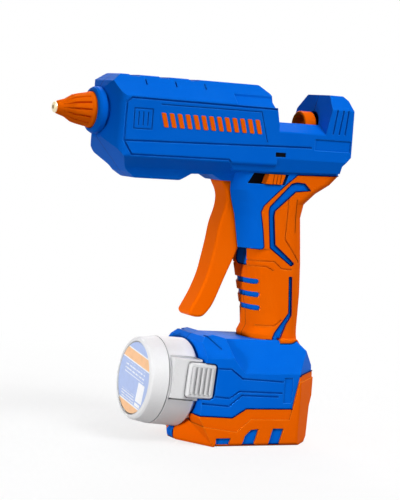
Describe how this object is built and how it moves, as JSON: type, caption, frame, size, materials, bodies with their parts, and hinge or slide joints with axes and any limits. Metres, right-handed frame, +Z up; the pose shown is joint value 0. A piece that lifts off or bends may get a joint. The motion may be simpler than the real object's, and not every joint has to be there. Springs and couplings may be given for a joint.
{
  "type": "glue gun",
  "caption": "Cordless hot-melt glue gun: two-part housing with soft grip, long trigger, sliding stick feed, nozzle, slide switch and slide-in battery pack.",
  "frame": {"origin": "on the bench, under the middle of the tool's bounding box", "axes": "+Z up from the flat foot, -X towards the nozzle and the battery, Y across the tool; the seam of the housing is the XZ plane"},
  "size_m": [0.1722, 0.058, 0.1968],
  "materials": {
    "housing_blue": "fine moulded texture, glass-filled nylon",
    "grip_orange": "soft over-moulded grip",
    "bumper_orange": "soft over-moulded bumper",
    "collar_blue": "smooth moulded",
    "sleeve_orange": "silicone nozzle cover",
    "nozzle_metal": "turned, bright",
    "chamber_metal": "die-cast",
    "heater_black": "insulated PTC plate",
    "support_board": "heat-proof board",
    "sleeve_rubber": "silicone rubber",
    "guide_black": "moulded",
    "trigger_orange": "moulded, satin",
    "pin_steel": "ground",
    "slide_white": "acetal",
    "collar_orange": "moulded",
    "spring_steel": "wire",
    "switch_orange": "moulded",
    "switch_black": "moulded",
    "lens_dark": "smoked lens",
    "board_green": "solder mask",
    "parts_dark": "relay and capacitors",
    "block_black": "moulded",
    "contact_brass": "stamped",
    "pack_grey": "fine moulded texture",
    "label_print": "printed foil",
    "cell_wrap": "shrink wrap",
    "latch_grey": "moulded",
    "screw_black": "black oxide"
  },
  "bodies": {
    "frame": {"left_housing": "housing_blue", "right_housing": "housing_blue", "left_grip": "grip_orange", "right_grip": "grip_orange", "left_bumper": "bumper_orange", "right_bumper": "bumper_orange", "nose_collar": "collar_blue", "nozzle_sleeve": "sleeve_orange", "nozzle_tip": "nozzle_metal", "melt_chamber": "chamber_metal", "heating_element": "heater_black", "front_chamber_support": "support_board", "rear_chamber_support": "support_board", "inlet_sleeve": "sleeve_rubber", "stick_guide": "guide_black", "stick_inlet_bush": "guide_black", "trigger_pin": "pin_steel", "slide_spring": "spring_steel", "switch_body": "switch_black", "indicator_lens": "lens_dark", "circuit_board": "board_green", "board_components": "parts_dark", "terminal_block": "block_black", "tool_blades": "contact_brass", "housing_screws": "screw_black"},
    "trigger": {"trigger": "trigger_orange"},
    "feed": {"feed_slide": "slide_white", "drive_pin": "pin_steel", "feed_collar": "collar_orange", "grip_jaw": "pin_steel"},
    "switch": {"power_switch": "switch_orange"},
    "battery": {"battery_case": "pack_grey", "battery_cap": "pack_grey", "battery_label": "label_print", "battery_cells": "cell_wrap", "pack_terminals": "contact_brass", "left_latch_spring": "spring_steel", "right_latch_spring": "spring_steel"},
    "left_latch": {"left_latch": "latch_grey"},
    "right_latch": {"right_latch": "latch_grey"}
  },
  "joints": [
    {"name": "trigger_squeeze", "type": "hinge", "parent": "frame", "child": "trigger", "pos_m": [0.03225, 0, 0.133], "axis": [0, -1, 0], "range_deg": [0, 16], "stiffness_Nm_per_rad": 0.6, "springref_deg": -6.88},
    {"name": "feed_stroke", "type": "slide", "parent": "frame", "child": "feed", "axis": [-1, 0, 0], "range_m": [0, 0.00798], "deforming": ["slide_spring"]},
    {"name": "switch_slide", "type": "slide", "parent": "frame", "child": "switch", "axis": [-1, 0, 0], "range_m": [0, 0.007]},
    {"name": "battery_slide", "type": "slide", "parent": "frame", "child": "battery", "axis": [-0.9971, 0, 0.0767], "range_m": [0, 0.062]},
    {"name": "left_latch_press", "type": "slide", "parent": "battery", "child": "left_latch", "axis": [0, 1, 0], "range_m": [0, 0.0015], "stiffness_N_per_m": 400, "springref_m": -0.001, "deforming": ["left_latch_spring"]},
    {"name": "right_latch_press", "type": "slide", "parent": "battery", "child": "right_latch", "axis": [0, -1, 0], "range_m": [0, 0.0015], "stiffness_N_per_m": 400, "springref_m": -0.001, "deforming": ["right_latch_spring"]}
  ],
  "couplings": [
    {"joint": "feed_stroke", "follows": "trigger_squeeze", "m_per_rad": 0.028546}
  ]
}
